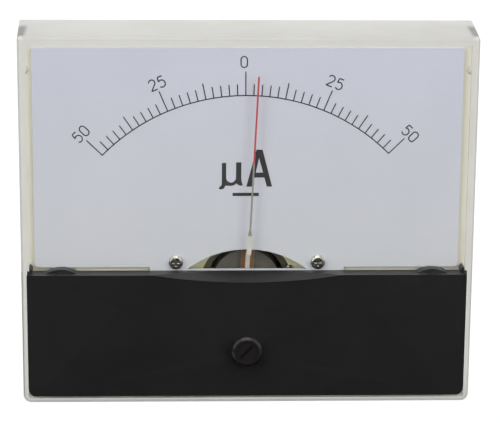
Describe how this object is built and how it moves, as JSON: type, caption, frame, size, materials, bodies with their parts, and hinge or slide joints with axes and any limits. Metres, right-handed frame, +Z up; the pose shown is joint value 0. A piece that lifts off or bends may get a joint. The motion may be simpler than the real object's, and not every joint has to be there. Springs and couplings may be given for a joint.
{
  "type": "analog panel meter",
  "caption": "Square-faced moving-coil panel meter with a clear cover, white dial, black lower mask, swinging pointer and slotted zero adjuster.",
  "frame": {"origin": "centre of the four mounting studs in the flange's back face, where it meets the panel", "axes": "+X to the right of someone reading the dial, +Y back through the panel, +Z up"},
  "size_m": [0.12, 0.0728, 0.1],
  "materials": {
    "front_cover": "clear polished",
    "lower_mask": "semi-gloss moulded",
    "rear_case": "moulded satin",
    "dial_plate": "satin white print",
    "dial_screws": "bright plated",
    "movement_frame": "moulded satin",
    "frame_screws": "zinc plated",
    "yoke_ring": "dark soft iron",
    "yoke_screws": "zinc plated",
    "core_magnet": "cast magnet alloy",
    "core_keys": "milled",
    "core_screws": "zinc plated",
    "front_bridge": "nickel plated",
    "rear_bridge": "nickel plated",
    "rear_pillars": "turned",
    "bridge_screws": "zinc plated",
    "front_jewel_screw": "turned",
    "rear_jewel_screw": "turned",
    "jewels": "polished",
    "jewel_lock_nuts": "turned",
    "rear_hairspring": "rolled bronze",
    "mounting_studs": "zinc plated",
    "terminal_studs": "turned",
    "terminal_nuts": "turned",
    "terminal_washers": "nickel plated",
    "solder_lugs": "tinned",
    "pointer": "painted tip, bare stem",
    "balance_cross": "bare",
    "balance_weights": "wound wire",
    "coil_former": "bare",
    "coil_winding": "enamelled copper wire",
    "pivots": "hardened and polished",
    "zero_arm": "pressed sheet",
    "front_hairspring": "rolled bronze",
    "zero_screw": "moulded",
    "zero_clip": "spring steel",
    "lead_straps": "pressed strip"
  },
  "bodies": {
    "case": {"front_cover": "front_cover", "lower_mask": "lower_mask", "rear_case": "rear_case", "dial_plate": "dial_plate", "dial_screws": "dial_screws", "movement_frame": "movement_frame", "frame_screws": "frame_screws", "yoke_ring": "yoke_ring", "yoke_screws": "yoke_screws", "core_magnet": "core_magnet", "core_keys": "core_keys", "core_screws": "core_screws", "front_bridge": "front_bridge", "rear_bridge": "rear_bridge", "rear_pillars": "rear_pillars", "bridge_screws": "bridge_screws", "front_jewel_screw": "front_jewel_screw", "rear_jewel_screw": "rear_jewel_screw", "jewels": "jewels", "jewel_lock_nuts": "jewel_lock_nuts", "rear_hairspring": "rear_hairspring", "mounting_studs": "mounting_studs", "terminal_studs": "terminal_studs", "terminal_nuts": "terminal_nuts", "terminal_washers": "terminal_washers", "solder_lugs": "solder_lugs", "lead_straps": "lead_straps"},
    "zero_screw": {"zero_screw": "zero_screw", "zero_clip": "zero_clip"},
    "zero_arm": {"zero_arm": "zero_arm", "front_hairspring": "front_hairspring"},
    "movement": {"pointer": "pointer", "balance_cross": "balance_cross", "balance_weights": "balance_weights", "coil_former": "coil_former", "coil_winding": "coil_winding", "pivots": "pivots"}
  },
  "joints": [
    {"name": "zero_screw_turn", "type": "hinge", "parent": "case", "child": "zero_screw", "pos_m": [0, 0, -0.0351], "axis": [0, 1, 0], "range_deg": [-60, 60]},
    {"name": "zero_arm_swing", "type": "hinge", "parent": "case", "child": "zero_arm", "pos_m": [0, 0, -0.0193], "axis": [0, 1, 0], "range_deg": [-4, 4]},
    {"name": "pointer_swing", "type": "hinge", "parent": "zero_arm", "child": "movement", "pos_m": [0, 0, -0.0193], "axis": [0, 1, 0], "range_deg": [-52.7, 47.3], "stiffness_Nm_per_rad": 0.00002}
  ],
  "couplings": [
    {"joint": "zero_arm_swing", "follows": "zero_screw_turn", "ratio": -0.0634}
  ]
}
